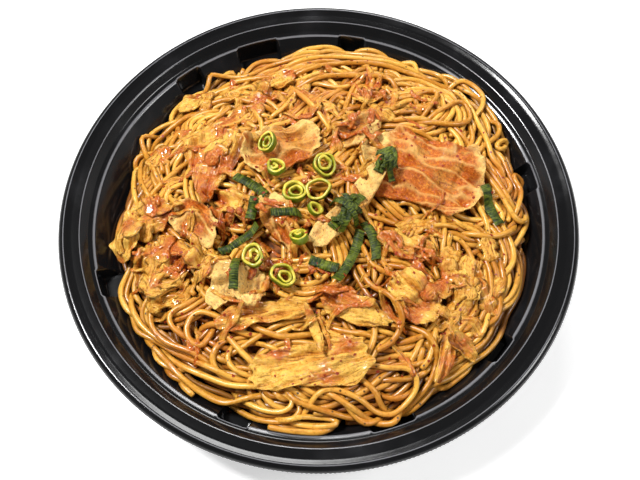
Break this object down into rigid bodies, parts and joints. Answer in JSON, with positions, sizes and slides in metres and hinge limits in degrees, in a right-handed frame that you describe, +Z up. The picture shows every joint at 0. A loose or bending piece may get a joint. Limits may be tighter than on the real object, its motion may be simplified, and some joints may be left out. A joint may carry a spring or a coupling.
{
  "type": "fried noodles in a take-out tray",
  "caption": "Round black take-out tray heaped with fried noodles, topped with sliced pork, pickled cabbage, spring-onion rings and dark green onion strips.",
  "frame": {"origin": "centre of the tray's foot, on the surface it rests on", "axes": "+Z up through the food; +Y towards the far edge, where the wide pocket is; +X to the right of it"},
  "size_m": [0.21, 0.21, 0.0487],
  "materials": {
    "tray_plastic": "glossy",
    "noodle": "oily",
    "pork": "moist",
    "pork_fat": "moist",
    "cabbage": "wet",
    "onion_ring": "moist",
    "leek_green": "moist"
  },
  "bodies": {
    "root": {"tray": "tray_plastic", "noodles": "noodle", "cabbage_shreds_left": "cabbage", "cabbage_shreds_right": "cabbage", "cabbage_edge": "cabbage", "cabbage_leaf_rear": "cabbage", "cabbage_strip_rear": "cabbage", "cabbage_leaf_left": "cabbage", "cabbage_leaf_outer": "cabbage", "pork_left": "pork", "cabbage_fold": "cabbage", "cabbage_wedge": "cabbage", "cabbage_base": "cabbage", "cabbage_flat": "cabbage", "cabbage_frill": "cabbage", "cabbage_ribbed": "cabbage", "cabbage_stem": "cabbage", "cabbage_square": "cabbage", "cabbage_limp": "cabbage", "cabbage_glassy": "cabbage", "pork_rear": "pork", "pork_dark": "pork", "pork_right": "pork", "pork_middle": "pork", "pork_hook": "pork_fat", "pork_tail": "pork_fat", "pork_square": "pork_fat", "pork_fat_strip": "pork_fat", "cabbage_stick": "cabbage", "leek_cross": "leek_green", "leek_short": "leek_green", "leek_pale": "leek_green", "leek_bar": "leek_green", "leek_upright": "leek_green", "leek_low": "leek_green", "leek_curl": "leek_green", "leek_bunch": "leek_green", "leek_long": "leek_green", "leek_fork": "leek_green", "leek_far": "leek_green", "onion_rear": "onion_ring", "onion_hook": "onion_ring", "onion_green": "onion_ring", "onion_wide": "onion_ring", "onion_dark": "onion_ring", "onion_small": "onion_ring", "onion_stand": "onion_ring", "onion_tall": "onion_ring", "onion_front": "onion_ring"}
  },
  "joints": []
}
